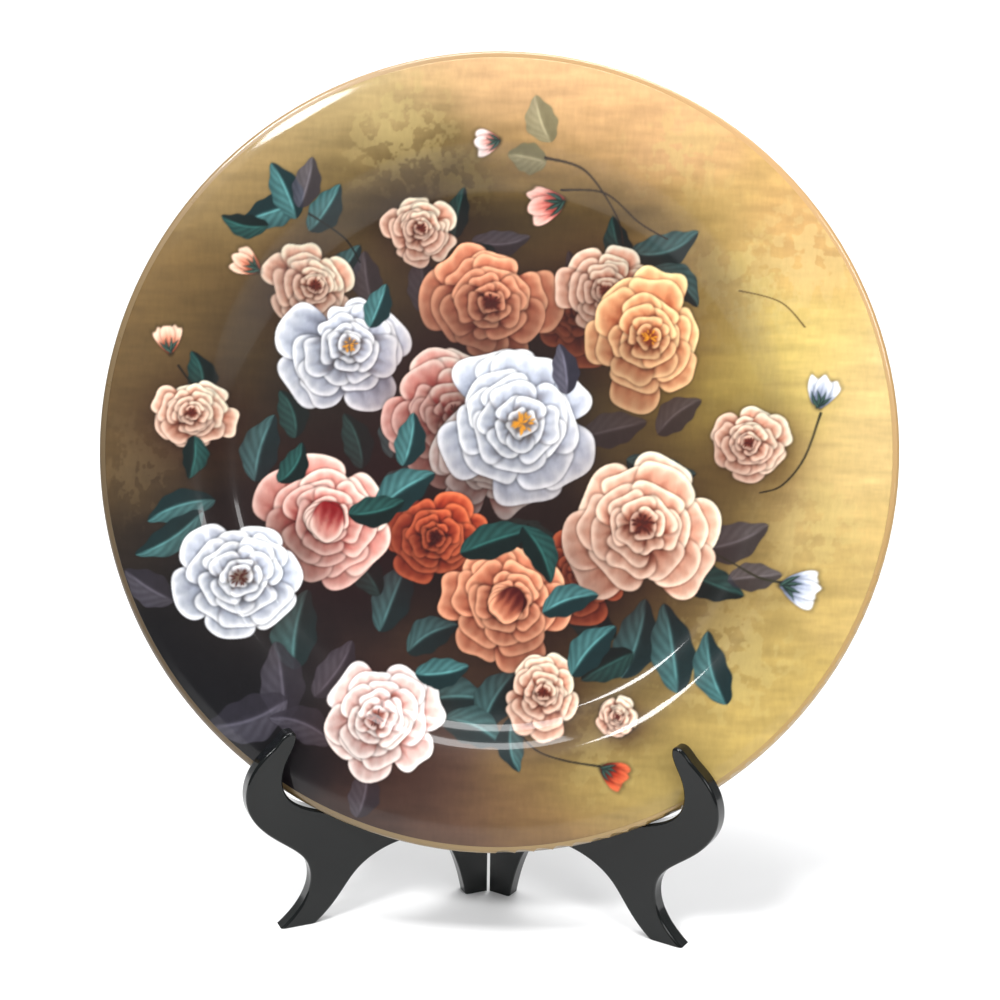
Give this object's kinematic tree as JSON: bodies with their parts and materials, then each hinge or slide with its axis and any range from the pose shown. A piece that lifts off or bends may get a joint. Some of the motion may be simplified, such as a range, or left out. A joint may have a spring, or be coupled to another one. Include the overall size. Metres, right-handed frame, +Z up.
{
  "type": "painted tray on folding stand",
  "caption": "Round painted steel tray with a wide rim and curled edge, leaning in a folding stand of two hinged, black-lacquered wooden boards.",
  "frame": {"origin": "middle of the whole model's box, on the surface that the stand stands on", "axes": "+Z up, -Y the way the painting faces, +X to the right of someone facing the painting"},
  "size_m": [0.4, 0.0988, 0.4354],
  "materials": {
    "painting": "oil painting under clear gloss lacquer",
    "black_lacquer": "black gloss lacquer on wood",
    "brass": "satin",
    "wire": "drawn wire"
  },
  "bodies": {
    "stand_left": {"left_board": "black_lacquer", "lower_left_leaf": "brass", "upper_left_leaf": "brass", "lower_hinge_pin": "brass", "upper_hinge_pin": "brass", "left_hinge_screws": "brass"},
    "stand_right": {"right_board": "black_lacquer", "lower_right_leaf": "brass", "upper_right_leaf": "brass", "right_hinge_screws": "brass"},
    "tray": {"tray_body": "painting", "rim_wire": "wire"}
  },
  "joints": [
    {"name": "tray_lift", "type": "slide", "parent": "stand_left", "child": "tray", "axis": [0, 0.1908, 0.9816], "range_m": [0, 0.3]},
    {"name": "fold", "type": "hinge", "parent": "stand_left", "child": "stand_right", "pos_m": [0, 0.01126, 0.09], "axis": [0, 0, -1], "range_deg": [0, 123.8]}
  ],
  "couplings": [
    {"joint": "fold", "follows": "tray_lift", "rad_per_m": 7.2}
  ]
}
